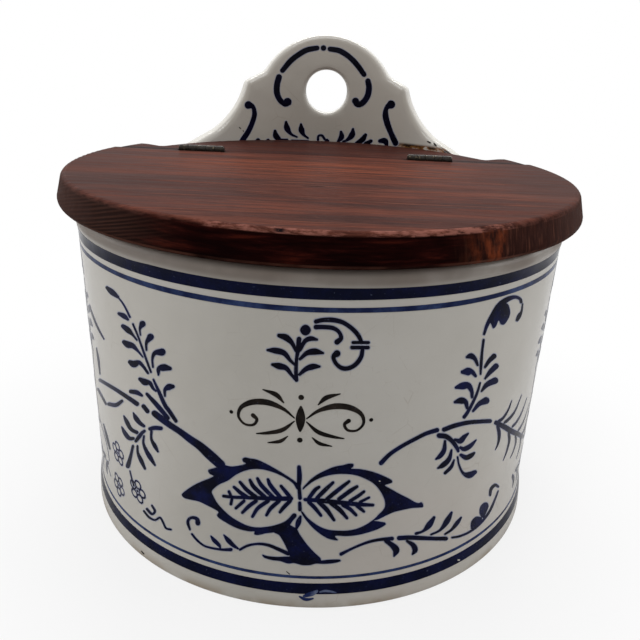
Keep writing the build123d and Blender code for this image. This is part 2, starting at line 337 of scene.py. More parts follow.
# ---- wood and metal
def board_face(n, x, y, up, bend, broad, streak, wavy):
    """The colour of the boards' faces: streaks along X, a warm field, a crack, a painted sheen that greys both
    ends, a painted shadow of the joint's gap beyond the hinges, and patchy darkening round the hinges.
    """
    tone = n.times(n.math("ADD", broad, streak), 0.5)
    base = n.ramp(
        n.fade(tone, 0.36, 0.64),
        (0, (60, 36, 32)), (0.4, (74, 42, 35)), (0.7, (85, 47, 38)), (1, (98, 55, 43)),
    )
    # the warmer field across the middle of the board and the duller one in front of it
    warm = n.times(n.near(y, 4, 6, 26), n.span(x, -75, -30, 30, 70))
    base = n.over(base, (130, 68, 45), warm, n.fade(streak, 0.36, 0.64, 0.2, 1), 0.48)
    dull = n.times(n.near(y, -23.5, 1, 7), n.fade(broad, 0.3, 0.6, 0.4, 0.9))
    base = n.over(base, (60, 39, 35), dull, 0.55)
    # thin light streaks, dark fibres and pale grit
    fibre = n.grain(95, 1500, 1100, wavy, detail=3, rough=0.65)
    pale = n.grain(26, 900, 600, wavy, detail=2)
    grit = n.grain(420, 2400, 1800, detail=2, rough=0.6)
    base = n.over(base, (142, 84, 62), n.fade(pale, 0.6, 0.74, 0, 0.4))
    base = n.over(base, (38, 21, 18), n.fade(fibre, 0.46, 0.66, 0, 0.55))
    base = n.over(base, (124, 82, 70), n.fade(grit, 0.6, 0.78, 0, 0.35))
    # a short crack, and pin specks of lime
    crack = n.fade(n.off(n.math("MULTIPLY_ADD", bend, 4, y), -25.8), 0.7, 0.2)
    base = n.over(base, (14, 8, 8), n.near(x, -2.6, 2, 4.2), crack)
    base = n.over(base, (186, 160, 146), n.fade(n.cells(38), 0.028, 0.016, 0, 0.5))
    # greyer towards both ends: a painted sheen, the white studio reflected at a grazing angle
    across = n.off(x, 0)
    base = n.over(base, (66, 46, 42), n.fade(across, 40, 82), 0.5)
    # a painted shadow of the joint's gap along the top faces beyond the hinges, and patchy darkening round the
    # hinges
    joint_shadow = n.span(y, JOINT_Y - 1.4, JOINT_Y - 0.6, JOINT_Y + 2, JOINT_Y + 3.2)
    base = n.over(base, (22, 13, 12), joint_shadow, n.fade(across, 45, 53), n.fade(up, 0.6, 0.9), 0.95)
    for hinge_x in HINGE_X:
        near = n.times(n.near(x, hinge_x, 8.8, 11.2), n.near(y, JOINT_Y, 2.2, 3.6))
        base = n.over(base, (28, 20, 17), near, n.fade(n.noise(330), 0.4, 0.55), 0.85)
    return base, fibre


def make_wood(name, rail=False):
    """Red-brown stained board with its grain along X, darker and rougher on the turned edge."""
    n = material(name)
    x, y, z = n.place()
    up = n.parts(n.coords("Normal"))[2]
    bend = n.grain(9, 22.5, 9, detail=2)
    drift = n.vector(0, n.times(bend, 0.010), 0)
    wavy = n.node("ShaderNodeVectorMath", {0: n.coords("Object"), 1: drift}, operation="ADD").outputs[0]
    broad = n.grain(7, 75, 60, wavy, detail=2)
    streak = n.grain(26, 430, 300, wavy, rough=0.62)
    base, fibre = board_face(n, x, y, up, bend, broad, streak, wavy)

    # the turned edge: nearly black red in front, sawn brown at the left, rubbed orange at the right
    front = n.span(x, -36, -22, 40, 56)
    edge = n.times(n.fade(n.math("MULTIPLY_ADD", front, 0.27, up), 0.93, 0.5), n.fade(up, -0.98, -0.9))
    turn = n.math("ARCTAN2", x, n.times(y, -1))
    wrap = n.vector(n.times(turn, 0.085), n.times(z, MM), 0)
    blotch = n.grain(60, 520, 1, wrap, rough=0.6)
    side = n.ramp(
        n.fade(blotch, 0.36, 0.7),
        (0, (14, 3, 3)), (0.5, (26, 6, 5)), (0.8, (40, 12, 9)), (1, (58, 20, 13)),
    )
    turned = n.node("ShaderNodeVectorRotate", {"Vector": wrap, "Angle": -0.22}, rotation_type="Z_AXIS")
    slant = n.scaled(70, 1000, 1, turned.outputs[0])
    ins = {"Vector": slant, "Scale": 0.3, "Distortion": 7, "Detail": 3, "Detail Scale": 0.7}
    saw = n.node("ShaderNodeTexWave", ins, wave_type="BANDS", bands_direction="Y").outputs[1]
    sawn = n.over((34, 20, 17), (66, 42, 34), n.fade(saw, 0.2, 0.9, 0, 0.7))
    sawn = n.over(sawn, (44, 27, 23), n.fade(blotch, 0.35, 0.65, 0, 0.45))
    left = n.fade(x, -30, -58)
    side = n.over(side, sawn, left)
    upright = n.fade(n.grain(900, 120, 1, wrap, detail=3, rough=0.6), 0.4, 0.66)
    brown = n.ramp(upright, (0, (42, 22, 18)), (0.7, (56, 31, 25)), (1, (76, 46, 35)))
    side = n.over(side, brown, n.fade(x, 28, 50))
    patch = n.grain(400, 190, 1, wrap, rough=0.6)
    rub = n.times(n.span(x, 33, 43, 44.5, 47.5), n.fade(patch, 0.36, 0.66))
    side = n.over(side, (120, 56, 31), rub, 0.72)
    # greyer towards both ends of the edge too: a painted sheen, the white studio reflected where the edge turns
    # away
    side = n.over(side, (64, 44, 39), n.fade(n.off(x, 0), 56, 76, 0, 0.8))
    # a thin lighter line along the lower rounded edge
    low = n.span(up, -0.85, -0.7, -0.45, -0.3)
    side = n.over(side, (98, 62, 50), low, n.fade(n.grain(60, 60, 1, wrap), 0.4, 0.6, 0.1, 1), 0.5)
    base = n.over(base, side, edge)

    # a lighter line along the front of the top edge's rounding, partly wear and partly a painted highlight where
    # the rounding faces the light above, with a chip in it
    lip = n.span(up, 0.3, 0.5, 0.95, 0.998)
    middle = n.times(n.fade(y, -20, -50), n.fade(front, 0, 1, 0.12, 1))
    wear_and_highlight = n.fade(n.grain(160, 260, 700, detail=5, rough=0.7), 0.42, 0.6)
    base = n.over(base, (150, 98, 86), lip, middle, wear_and_highlight, 0.8)
    chip = n.times(n.near(x, -9.5, 0.3, 2), n.fade(y, -70, -74))
    lip = n.span(up, 0.4, 0.6, 0.87, 0.93)
    base = n.over(base, (20, 16, 20), chip, lip, n.fade(n.noise(900, detail=3), 0.34, 0.46))
    if rail:
        base = n.over(base, (46, 30, 29), 0.5)

    rough = n.math("ADD", n.fade(streak, 0.3, 0.7, 0.36, 0.5), n.times(edge, 0.14))
    ripple = n.bump(streak, 0.12, 0.0004)
    fine = n.bump(fibre, 0.16, 0.0002, ripple)
    marks = n.bump(n.times(n.math("MULTIPLY_ADD", saw, left, patch), edge), 0.2, 0.0003, fine)
    return n.surfaced(Base_Color=base, Roughness=rough, Normal=marks, Specular_IOR_Level=0.006)


def make_metal(name, bright, dull, scale=300, rubbed=(0.38, 0.66)):
    """Old metal: bright where rubbed, dull and speckled elsewhere."""
    n = material(name)
    spots = n.noise(scale, detail=6, rough=0.65)
    base = n.ramp(n.fade(spots, *rubbed), (0, dull), (0.55, dull), (1, bright))
    base = n.over(base, (38, 34, 28), n.fade(n.noise(scale * 6, detail=3), 0.6, 0.72), 0.5)
    return n.surfaced(
        Base_Color=base,
        Metallic=n.fade(spots, 0.3, 0.6, 0.55, 1),
        Roughness=n.fade(spots, 0.35, 0.7, 0.62, 0.38),
        Normal=n.bump(spots, 0.3, 0.00015),
    )


WOOD = make_wood("stained_wood")
RAIL_WOOD = make_wood("stained_wood_rail", rail=True)
BRASS = make_metal("old_brass", (92, 84, 70), (30, 26, 22), scale=800, rubbed=(0.3, 0.8))
STEEL = make_metal("dull_steel", (100, 94, 86), (46, 42, 38))
WASHER = make_metal("washer_brass", (176, 148, 92), (112, 92, 58))

HINGE_PARTS = ("rail_leaf", "flap_leaf", "pin")
for mat, names in (
    (WOOD, ["lid_flap"]),
    (RAIL_WOOD, ["hinge_rail"]),
    (BRASS, [f"{side}_hinge_{part}" for side in ("left", "right") for part in HINGE_PARTS]),
    (STEEL, ["rail_leaf_screws", "flap_leaf_screws", "rail_fixing_screws"]),
    (WASHER, ["rail_fixing_washers"]),
):
    for name in names:
        mesh = frame["nodes"][name].data
        mesh.materials.clear()
        mesh.materials.append(mat)


# ---- mesh helpers
def new_mesh(name, points, faces):
    mesh = bpy.data.meshes.new(name)
    mesh.from_pydata((np.asarray(points) * MM).tolist(), [], faces)
    return mesh


def new_piece(name, points, faces, mat, sharp=None):
    """A smooth piece of the pot, with edges steeper than sharp degrees left hard."""
    mesh = new_mesh(name, points, faces)
    mesh.validate()
    mesh.shade_smooth()
    if sharp is not None:
        mesh.set_sharp_from_angle(angle=math.radians(sharp))
    mesh.materials.append(mat)
    obj = linked(name, mesh)
    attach(obj, "body")
    return obj


def ring_faces(rings, count, closed=False):
    """Quads between neighbouring rings of points, and from the last ring to the first if closed."""
    faces = []
    for k in range(rings if closed else rings - 1):
        a, b = k * count, (k + 1) % rings * count
        for i in range(count):
            j = (i + 1) % count
            faces.append((a + i, b + i, b + j, a + j))
    return faces


def tube_faces(rings, count):
    """The faces of a tube of rings, closed by a flat face at each end."""
    last = (rings - 1) * count
    return [*ring_faces(rings, count), tuple(range(count)), tuple(range(last + count - 1, last - 1, -1))]


def lengths(line):
    """How far along a line each of its points lies."""
    return np.concatenate([[0], np.cumsum(np.hypot(*np.diff(line, axis=0).T))])


def smooth_line(points, step, closed=False):
    """A Catmull-Rom curve through rows of points, sampled about every step of its first two columns."""
    p = np.asarray(points, float)
    if closed:
        p = np.vstack([p[-1], p, p[0], p[1]])
    else:
        p = np.vstack([2 * p[0] - p[1], p, 2 * p[-1] - p[-2]])
    rows = []
    for a, b, c, d in zip(p, p[1:], p[2:], p[3:]):
        count = max(1, int(round(np.hypot(*(c - b)[:2]) / step)))
        t = np.linspace(0, 1, count, endpoint=False)[:, None]
        bend = (2 * a - 5 * b + 4 * c - d) * t**2 + (3 * b - a - 3 * c + d) * t**3
        rows.append(0.5 * (2 * b + (c - a) * t + bend))
    if not closed:
        rows.append(p[-2][None])
    return np.vstack(rows)


# ---- the pot
# (height, radius), outside and inside; the outside is softened over 4 mm so that it bends without creases
WALL = np.array([
    (-1, 78.1), (2, 77.95), (4.5, 77.8), (7, 77.5), (10, 77), (14, 76.85), (18, 76.75), (25, 76.9),
    (40, 77.2), (55, 77.5), (75, 78), (90, 78.35), (95.5, 78.5), (97.5, 78.9), (99, LIP_R), (200, LIP_R),
])
INNER_WALL = np.array([(FLOOR_Z, FLOOR_R), (20, 70.9), (60, 71.8), (97, MOUTH_R), (200, MOUTH_R)])

soft_z = np.arange(-1, 200, 0.25)
window = np.hanning(17)
window /= window.sum()
padded_r = np.pad(np.interp(soft_z, *WALL.T), len(window) // 2, mode="edge")
soft_r = np.convolve(padded_r, window, "valid")


def wall_r(z):
    return np.interp(z, soft_z, soft_r)


def inner_r(z):
    return np.interp(z, *INNER_WALL.T)


def wall_points(u, z, r):
    """Points round the pot. u is the arc length round the mouth from the crest's middle, at the back."""
    u, z, r = np.broadcast_arrays(u, z, r)
    return np.column_stack([r * np.sin(u / MOUTH_R), r * np.cos(u / MOUTH_R), z])


def arc_through(a, b, c, count):
    """Points on the circle through three points, from the first to the last."""
    a, b, c = np.array([a, b, c])
    double = 2 * (a[0] * (b[1] - c[1]) + b[0] * (c[1] - a[1]) + c[0] * (a[1] - b[1]))
    x = (a @ a * (b[1] - c[1]) + b @ b * (c[1] - a[1]) + c @ c * (a[1] - b[1])) / double
    y = (a @ a * (c[0] - b[0]) + b @ b * (a[0] - c[0]) + c @ c * (b[0] - a[0])) / double
    start, end = (math.atan2(p[1] - y, p[0] - x) for p in (a, c))
    turn = (end - start + math.pi) % (2 * math.pi) - math.pi
    angles = start + turn * np.linspace(0, 1, count)
    radius = math.hypot(a[0] - x, a[1] - y)
    return np.column_stack([x + radius * np.cos(angles), y + radius * np.sin(angles)])


def crest_outline():
    """Half of the top edge, from the crest's middle to the rim: arc length round the mouth and height."""
    angles = np.linspace(0, math.acos((DOME_FOOT - CREST_TOP + DOME_R) / DOME_R), 40)
    dome = np.column_stack([DOME_R * np.sin(angles), CREST_TOP - DOME_R + DOME_R * np.cos(angles)])
    points = np.vstack([dome, arc_through(SHOULDER, SWEEP_MID, SWEEP_END, 30), TOE, (CREST_HALF, 0.0)])
    points[:, 0] = MOUTH_R * np.arcsin(points[:, 0] / MOUTH_R)
    return points


def top_edge():
    """The softened top edge all round: arc length and height above the rim, the way inwards at each point,
    and the arc length at which the column below each point stands lower down."""
    fine = 0.2
    blur = 1.0
    reach = 20
    way_round = 2 * math.pi * MOUTH_R
    half = np.vstack([crest_outline(), (way_round / 2, 0.0)])
    run = lengths(half)
    at = np.linspace(0, run[-1], int(round(run[-1] / fine)) + 1)
    half = np.column_stack([np.interp(at, run, half[:, k]) for k in (0, 1)])
    loop = np.vstack([half[::-1] * [-1, 1], half[1:]])
    kernel = np.exp(-0.5 * (np.arange(-reach, reach + 1) * fine / blur) ** 2)
    kernel /= kernel.sum()
    before = loop[-reach - 1:-1] - [way_round, 0]
    after = loop[1:reach + 1] + [way_round, 0]
    padded = np.vstack([before, loop, after])
    loop = np.column_stack([np.convolve(padded[:, k], kernel, "valid") for k in (0, 1)])

    # close together along the crest and a little beyond it, and further apart along the rim
    past_crest = 66.0
    crest_step = 0.85
    rim_points = 150
    run = lengths(loop)
    middle = run[-1] / 2
    crest_end = run[np.argmin(np.abs(loop[:, 0] - past_crest))] - middle
    along_crest = np.arange(-crest_end, crest_end, crest_step)
    along_rim = np.linspace(crest_end, run[-1] - crest_end, rim_points, endpoint=False)
    stops = np.sort(np.mod(np.concatenate([along_crest, along_rim]) + middle, run[-1]))
    top = np.column_stack([np.interp(stops, run, loop[:, k]) for k in (0, 1)])
    slope = np.column_stack([np.interp(stops, run, np.gradient(loop[:, k], run)) for k in (0, 1)])
    slope /= np.hypot(*slope.T)[:, None]
    inwards = np.column_stack([slope[:, 1], -slope[:, 0]])
    even = (stops / run[-1] - 0.5) * way_round
    return top, inwards, 0.75 * top[:, 0] + 0.25 * even


def quarter(count):
    """Sine and cosine of angles from 0 to 90 degrees."""
    angles = np.radians(np.linspace(0, 90, count))
    return list(zip(np.sin(angles), np.cos(angles)))


def build_pot():
    """Rings from the middle of the foot, up the outside, over the top edge and down to the inner middle."""
    top, inwards, base_u = top_edge()
    base_z, lip_z = 91.0, 99.2
    edge_u, edge_z = (top + inwards * TOP_ROUND + [0, RIM]).T

    def climbing(z, radius_at):
        """A ring on its way from the even columns of the wall to the columns of the top edge."""
        u = base_u + (edge_u - base_u) * (z - base_z) / (edge_z - base_z)
        return wall_points(u, z, radius_at(z))

    def rounded(sine, cosine, radius_at, way):
        """A ring on the rounding of the top edge."""
        u, z = (top + inwards * TOP_ROUND * (1 - sine) + [0, RIM]).T
        return wall_points(u, z, radius_at(z) - way * TOP_ROUND * (1 - cosine))

    climb = [base_z, 92.5, 94.0, 95.2, 96.2, 97.0, 97.8, 98.5, lip_z]
    climb += [lip_z + (edge_z - lip_z) * t for t in np.linspace(0, 1, 13)[1:]]
    up = [1, 1.5, 2.2, 3.2, *np.arange(4.5, 14), 15, 17, 20, *range(26, 76, 7), 80, 85, 88]
    levels = [(0, r) for r in (0.5, 12, 30, 50, 65, 73)]
    levels += [(FOOT_CORNER * (1 - c), FOOT_R - FOOT_CORNER * (1 - s)) for s, c in quarter(6)]
    levels += [(z, wall_r(z)) for z in up]
    rows = [wall_points(base_u, z, r) for z, r in levels]
    rows += [climbing(z, wall_r) for z in climb]
    rows += [rounded(s, c, wall_r, 1) for s, c in quarter(7)[1:]]
    rows += [rounded(s, c, inner_r, -1) for s, c in quarter(7)[::-1]]
    rows += [climbing(z, inner_r) for z in climb[-2::-1]]
    levels = [(z, inner_r(z)) for z in (86, 78, 68, 56, 44, 32, 24, 18)]
    levels += [(FLOOR_Z + FLOOR_CORNER * (1 - s), FLOOR_R - FLOOR_CORNER * (1 - c)) for s, c in quarter(8)]
    levels += [(FLOOR_Z, r) for r in (50, 35, 20, 8, 0.5)]
    rows += [wall_points(base_u, z, r) for z, r in levels]
    return np.vstack(rows), tube_faces(len(rows), len(base_u))


def hole_cutter():
    """A spool that cuts the hanging hole and rounds its two edges."""
    start = math.radians(8)
    proud = 0.3
    angles = np.linspace(start, math.pi / 2, 8)
    levels = [(HOLE_ROUND * (1 - math.cos(a)), HOLE_R + HOLE_ROUND * (1 - math.sin(a))) for a in angles]
    depth, radius = levels[0]
    levels.insert(0, (-proud, radius + (depth + proud) / math.tan(start)))
    turn = np.linspace(0, 2 * math.pi, 96, endpoint=False)

    def ring(radius, y):
        y = np.broadcast_to(y, turn.shape)
        return np.column_stack([radius * np.cos(turn), y, HOLE_Z + radius * np.sin(turn)])

    def face(wall, radius):
        return np.sqrt(wall**2 - (radius * np.cos(turn)) ** 2)

    rings = [ring(r, face(MOUTH_R, r) + d) for d, r in levels]
    rings += [ring(r, face(LIP_R, r) - d) for d, r in levels[::-1]]
    widest = levels[0][1]
    rings = [ring(widest, MOUTH_R - 8), *rings, ring(widest, LIP_R + 5)]
    return np.vstack(rings), tube_faces(len(rings), len(turn))


pot = new_piece("pot_glazed", *build_pot(), GLAZE)
cutter = linked("cutter", new_mesh("cutter", *hole_cutter()))
boolean = pot.modifiers.new("hole", "BOOLEAN")
boolean.object = cutter
boolean.operation = "DIFFERENCE"
boolean.solver = "EXACT"
bpy.context.view_layer.update()
drilled = bpy.data.meshes.new_from_object(pot.evaluated_get(bpy.context.evaluated_depsgraph_get()))
pot.modifiers.clear()
pot.data = drilled
pot.data.shade_smooth()
bpy.data.objects.remove(cutter)
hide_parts("pot")


# ---- painting
def sight_hits(px, radius_at, side):
    """Where sight lines meet a round wall, in front of its axis (side -1) or behind it (side 1)."""
    x, y = ((np.asarray(px, float) - [CENTRE_X, CENTRE_Y]) / FOCAL).T[:, :, None]
    d = forward + x * cam_right - y * cam_up
    a = d[:, 0] ** 2 + d[:, 1] ** 2
    b = d[:, :2] @ CAM_POS[:2]
    z = np.full(len(d), RIM / 2)
    for _ in range(6):
        c = CAM_POS[:2] @ CAM_POS[:2] - radius_at(z) ** 2
        t = (side * np.sqrt(np.maximum(b * b - a * c, 0.0)) - b) / a
        hit = CAM_POS + t[:, None] * d
        z = hit[:, 2]
    return hit


def on_wall(px):
    """Photograph points carried to the front of the pot: arc length from the middle, and height."""
    hit = sight_hits(px, wall_r, -1)
    return np.column_stack([ARC_R * np.arctan2(hit[:, 0], -hit[:, 1]), hit[:, 2]])


def on_crest(px):
    """Photograph points carried to the inner face of the crest."""
    hit = sight_hits(px, inner_r, 1)
    return np.column_stack([MOUTH_R * np.arctan2(hit[:, 0], hit[:, 1]), hit[:, 2]])


def traced(outlines, finder=on_wall):
    return [finder(outline) for outline in outlines]


def wall_place(uv, lift):
    """Points on the wall, lifted off it."""
    theta = uv[:, 0] / ARC_R
    r = wall_r(uv[:, 1]) + lift
    return np.column_stack([r * np.sin(theta), -r * np.cos(theta), uv[:, 1]])


def crest_place(uv, lift):
    """Points on the crest's face, lifted off it."""
    return wall_points(*uv.T, MOUTH_R - lift)


def headings(line):
    """The way ahead and the way to the left at each point of a line."""
    ahead = np.gradient(line[:, :2], axis=0)
    ahead /= np.maximum(np.hypot(*ahead.T), 1e-9)[:, None]
    return ahead, np.column_stack([-ahead[:, 1], ahead[:, 0]])


def stroke(*knots, step=1.2):
    """The outline of a brush stroke with round ends. Each knot is (x, y, width)."""
    line = smooth_line(knots, step)
    ahead, left = headings(line)
    w = np.maximum(line[:, 2:3], 0.4 * step) / 2

    def end(k, sign):
        cap = np.radians([60, 30, 0, -30, -60])
        return [line[k, :2] + w[k] * (sign * ahead[k] * math.cos(a) + left[k] * math.sin(a)) for a in cap]

    return np.vstack([line[:, :2] + left * w, end(-1, 1), (line[:, :2] - left * w)[::-1], end(0, -1)[::-1]])


def strokes(*lines, step=1.2):
    return [stroke(*knots, step=step) for knots in lines]


def blob(*corners):
    """A filled shape with a soft outline."""
    return smooth_line(corners, 1.3, closed=True)


def disc(u, z, r, count=12):
    t = np.linspace(0, 2 * math.pi, count, endpoint=False)
    return np.column_stack([u + r * np.cos(t), z + r * np.sin(t)])


def inside(points, outline):
    """Which points lie inside an outline, by winding number."""
    x, y = points.T
    turns = np.zeros(len(points), int)
    for (x0, y0), (x1, y1) in zip(outline, np.roll(outline, -1, axis=0)):
        left = (x1 - x0) * (y - y0) - (x - x0) * (y1 - y0)
        turns += (y0 <= y) & (y1 > y) & (left > 0)
        turns -= (y0 > y) & (y1 <= y) & (left < 0)
    return turns != 0


def any_inside(points, outlines):
    """Which points lie inside at least one of the outlines."""
    hit = np.zeros(len(points), bool)
    for o in outlines:
        near = ~hit & (points >= o.min(0)).all(1) & (points <= o.max(0)).all(1)
        if near.any():
            hit[np.flatnonzero(near)[inside(points[near], o)]] = True
    return hit


def filled(outlines, grid):
    """Triangles that fill a set of overlapping outlines, with inner points about a grid's width apart."""
    points, loops = [], []
    for o in outlines:
        loops.append(list(range(len(points), len(points) + len(o))))
        points += o.tolist()
    every = np.vstack(outlines)
    lo, hi = every.min(0), every.max(0)
    gx, gy = np.meshgrid(np.arange(lo[0], hi[0], grid), np.arange(lo[1], hi[1], grid))
    dots = np.column_stack([gx.ravel() + (np.round(gy.ravel() / grid) % 2) * grid / 2, gy.ravel()])
    points += dots[any_inside(dots, outlines)].tolist()
    vertices, _, made, *_ = delaunay_2d_cdt([Vector(p) for p in points], [], loops, 0, 1e-5, False)
    flat = np.array([tuple(v) for v in vertices])
    tris = np.array([f for f in made if len(f) == 3])
    tris = tris[any_inside(flat[tris].mean(1), outlines)]
    a, b, c = (flat[tris[:, k]] for k in range(3))
    area = (b[:, 0] - a[:, 0]) * (c[:, 1] - a[:, 1]) - (b[:, 1] - a[:, 1]) * (c[:, 0] - a[:, 0])
    tris, area = tris[np.abs(area) > 1e-7], area[np.abs(area) > 1e-7]
    tris[area < 0] = tris[area < 0][:, ::-1]
    used, tris = np.unique(tris, return_inverse=True)
    return flat[used], tris.reshape(-1, 3)


def paint(name, outlines, place, mat, lift=FILM, grid=1.6):
    """A closed film of colour on the glaze, filling a set of overlapping outlines."""
    flat, tris = filled(outlines, grid)
    top, bottom = place(flat, lift), place(flat, FILM_ROOT)
    a, b, c = top[tris[0]]
    if np.cross(b - a, c - a) @ (a - bottom[tris[0, 0]]) < 0:
        tris = tris[:, ::-1]
    edges = [tuple(e) for pair in ([0, 1], [1, 2], [2, 0]) for e in tris[:, pair].tolist()]
    shared = set(edges)
    count = len(flat)
    sides = [(j, i, i + count, j + count) for i, j in edges if (j, i) not in shared]
    faces = tris.tolist() + (tris[:, ::-1] + count).tolist() + sides
    new_piece(name, np.vstack([top, bottom]), faces, mat, sharp=40)


def grown(outline, by):
    """An outline moved outwards on every side."""
    way = np.roll(outline, -1, axis=0) - np.roll(outline, 1, axis=0)
    out = np.column_stack([way[:, 1], -way[:, 0]]) / np.maximum(np.hypot(*way.T), 1e-6)[:, None]
    x, y = outline.T
    turn = np.sign(np.sum(x * np.roll(y, -1) - np.roll(x, -1) * y))
    return outline + out * turn * by


def paint_soft(name, outlines, place=wall_place, mat=COBALT):
    """A painted group with the faint blue that bleeds into the glaze round it."""
    paint(name, outlines, place, mat)
    paint(name + "_bleed", [grown(o, 0.22) for o in outlines], place, WASH, lift=FILM / 2)


def flowers(*centres):
    """Small outlined flowers, five petal loops round a dot. Each centre is (arc length, height, turn)."""
    t = np.linspace(0, 2 * math.pi, 15)
    petal = np.column_stack([1.5 * np.cos(t), 1.35 * np.sin(t)])
    left = headings(petal)[1] * 0.31
    petal = np.vstack([petal + left, (petal - left)[::-1]])
    out = []
    for u, z, turn in centres:
        for a in turn + np.linspace(0, 2 * math.pi, 5, endpoint=False):
            out += moved([petal], u + 2.5 * math.cos(a), z + 2.5 * math.sin(a))
        out.append(disc(u, z, 0.5, 8))
    return out


def moved(outlines, du, dz=0.0, flip=False):
    """Outlines carried round the wall, and mirrored if flip is set."""
    return [o * [-1 if flip else 1, 1] + [du, dz] for o in outlines]


# ---- outlines in the photograph's frame
# the leaf cartouche: its borders, two ferns, a stem and the trunk under it
LEFT_BORDER = blob(
    (299.5, 487.5), (297, 483), (292, 479), (285, 474.5), (276, 469), (266, 463.5), (257, 459.5),
    (250, 458.3), (245, 457.3), (242.3, 459), (243.5, 462), (246, 463.5), (240, 465.3), (231, 466.3),
    (224, 464.8), (219, 466.5), (213, 468.3), (208.3, 470), (209.5, 473.5), (213.5, 475.8), (210.5, 477.8),
    (205, 480), (198, 483), (190, 487.5), (183.3, 492.5), (181.8, 495), (184.5, 498), (190, 499.5),
    (199, 501.5), (207, 505.3), (214, 508.8), (218.5, 512), (217, 515), (219, 518), (226, 522.5),
    (234, 526.8), (242, 529.8), (250, 531.3), (254.5, 531.5), (254, 534), (258, 535), (266, 533.3),
    (274, 532.3), (283, 531), (289, 526), (293, 520.5), (296.5, 516.5), (296, 513.8), (293, 513.5),
    (289, 518), (284, 521.8), (276, 524.8), (268, 526.5), (258, 527.3), (249, 526), (240, 522), (231, 516.5),
    (223, 509.3), (217, 502.5), (213.5, 496), (211.8, 491.5), (215, 487.5), (220, 484), (228, 480.5),
    (236, 474.8), (244, 471), (253, 469), (262, 469.3), (271, 471.5), (280, 475), (288, 479.5), (293.5, 484),
    (297, 489.5),
)
RIGHT_BORDER = blob(
    (303, 487.5), (306, 484), (311, 479), (318, 474), (327, 469.5), (335, 466.5), (343, 465), (349, 463.5),
    (353.5, 464), (353, 467), (351, 468.5), (360, 469), (370, 471), (378, 473.5), (386, 477), (391.5, 480),
    (392, 482.5), (388, 484), (385, 485.5), (392, 489.5), (400, 494), (408, 498), (415, 502), (419, 503),
    (421, 502), (423, 504), (423, 507), (420, 507.5), (412, 508), (402, 510), (394, 512), (386, 515.5),
    (378, 519.5), (374, 520.5), (380, 521.5), (385, 522.5), (386, 524), (382, 527), (374, 530.5),
    (364, 533.5), (354, 535.5), (344, 536), (337, 535.5), (335, 536.5), (338, 540), (334, 540), (327, 538),
    (319, 533), (312, 527), (306, 520), (302, 514), (301, 511), (303, 512), (307, 517), (313, 522),
    (320, 526.5), (328, 529.5), (337, 530.5), (347, 530.5), (357, 528.5), (366, 524.5), (374, 519),
    (379, 514), (383, 510), (385, 505.5), (384.5, 500), (382, 494), (378, 488), (373, 483), (366, 479),
    (357, 475.5), (347, 474), (337, 474), (328, 475.5), (320, 478), (313, 481.5), (307, 486), (303, 489.5),
)
CARTOUCHE = strokes(
    # left fern
    (
        (223.5, 496, 3), (232, 497, 3.2), (245, 497.5, 3.5), (260, 498, 4), (275, 498.5, 4.5),
        (291, 498.5, 4.5),
    ),
    ((229, 491.5, 3), (231, 496, 3)),
    ((234, 487, 3), (241, 493, 4), (247, 497, 4)),
    ((240, 482, 3), (247, 490, 4), (256, 497, 4)),
    ((250, 480, 3), (254, 487, 4.2), (265, 497, 4)),
    ((257.5, 478.5, 3), (262, 486, 4.2), (274, 498, 4)),
    ((268, 479.5, 3), (271, 486, 4.2), (281, 498, 4)),
    ((281, 486, 3), (286, 492, 4), (290, 497, 4)),
    ((231, 504, 3), (232, 499, 3)),
    ((236, 508, 3), (244, 501, 3.5)),
    ((242.5, 512.5, 3), (249, 506, 4), (256, 501, 4)),
    ((252.5, 516.5, 3), (258, 508, 4), (268, 501, 4)),
    ((266.5, 515, 3), (271, 508, 4), (279, 501, 4)),
    ((280, 512, 3), (284, 507, 4), (290, 501, 4)),
    # right fern
    (
        (305, 499.5, 3.5), (320, 500.5, 4.5), (335, 502, 4.5), (350, 503.5, 4.5), (362, 504.5, 4),
        (373, 505, 3),
    ),
    ((309, 498, 4), (315, 490, 4), (319, 487, 3)),
    ((317, 498, 4), (325, 490, 4.2), (333, 482.5, 3)),
    ((327, 499, 4), (338, 490, 4.2), (349, 481.5, 3)),
    ((339, 499, 4), (350, 491, 4.2), (357, 486.5, 3)),
    ((350, 501, 3.5), (358, 496, 3.5), (364, 491.5, 2.8)),
    ((360, 502, 3), (369, 497.5, 2.5)),
    ((309, 502, 4), (315, 508, 4), (321, 515.5, 3)),
    ((319, 502, 4.5), (327, 510, 4.5), (334, 520, 3)),
    ((331, 503, 4.5), (340, 510, 4.5), (347, 518, 3)),
    ((343, 505, 4), (350, 509, 4), (356, 515, 3)),
    ((357, 506, 3.5), (361, 509, 3.5), (364, 511.5, 2.5)),
    # middle stem
    ((299, 467, 4), (299.5, 476, 5), (299, 484, 4.5)),
    ((299, 486, 3.5), (300, 498, 4)),
    ((299.8, 503, 3.5), (300, 509.5, 3.8)),
    ((300.5, 516.5, 2.5), (298.5, 522, 5.5), (296.5, 528, 3)),
)
CARTOUCHE += [
    LEFT_BORDER,
    RIGHT_BORDER,
    blob(
        (274, 532), (279, 535), (283, 541), (287, 549), (289.5, 556), (288, 560), (300, 561.5), (312, 562),
        (320, 561.5), (320.5, 558), (314, 552), (306, 543), (300, 534.5), (297, 529), (294, 527),
        (288, 524.5), (283, 529),
    ),
    blob(
        (262.5, 554.5), (268, 556), (278, 556.8), (289, 556.5), (300, 559), (310, 561), (320, 560.5),
        (330, 559.5), (340, 559.5), (341, 561), (334, 563), (324, 563.8), (316, 563.5), (310, 565),
        (302, 565), (294, 563), (288, 563.5), (280, 561), (272, 560), (264, 557.5),
    ),
]
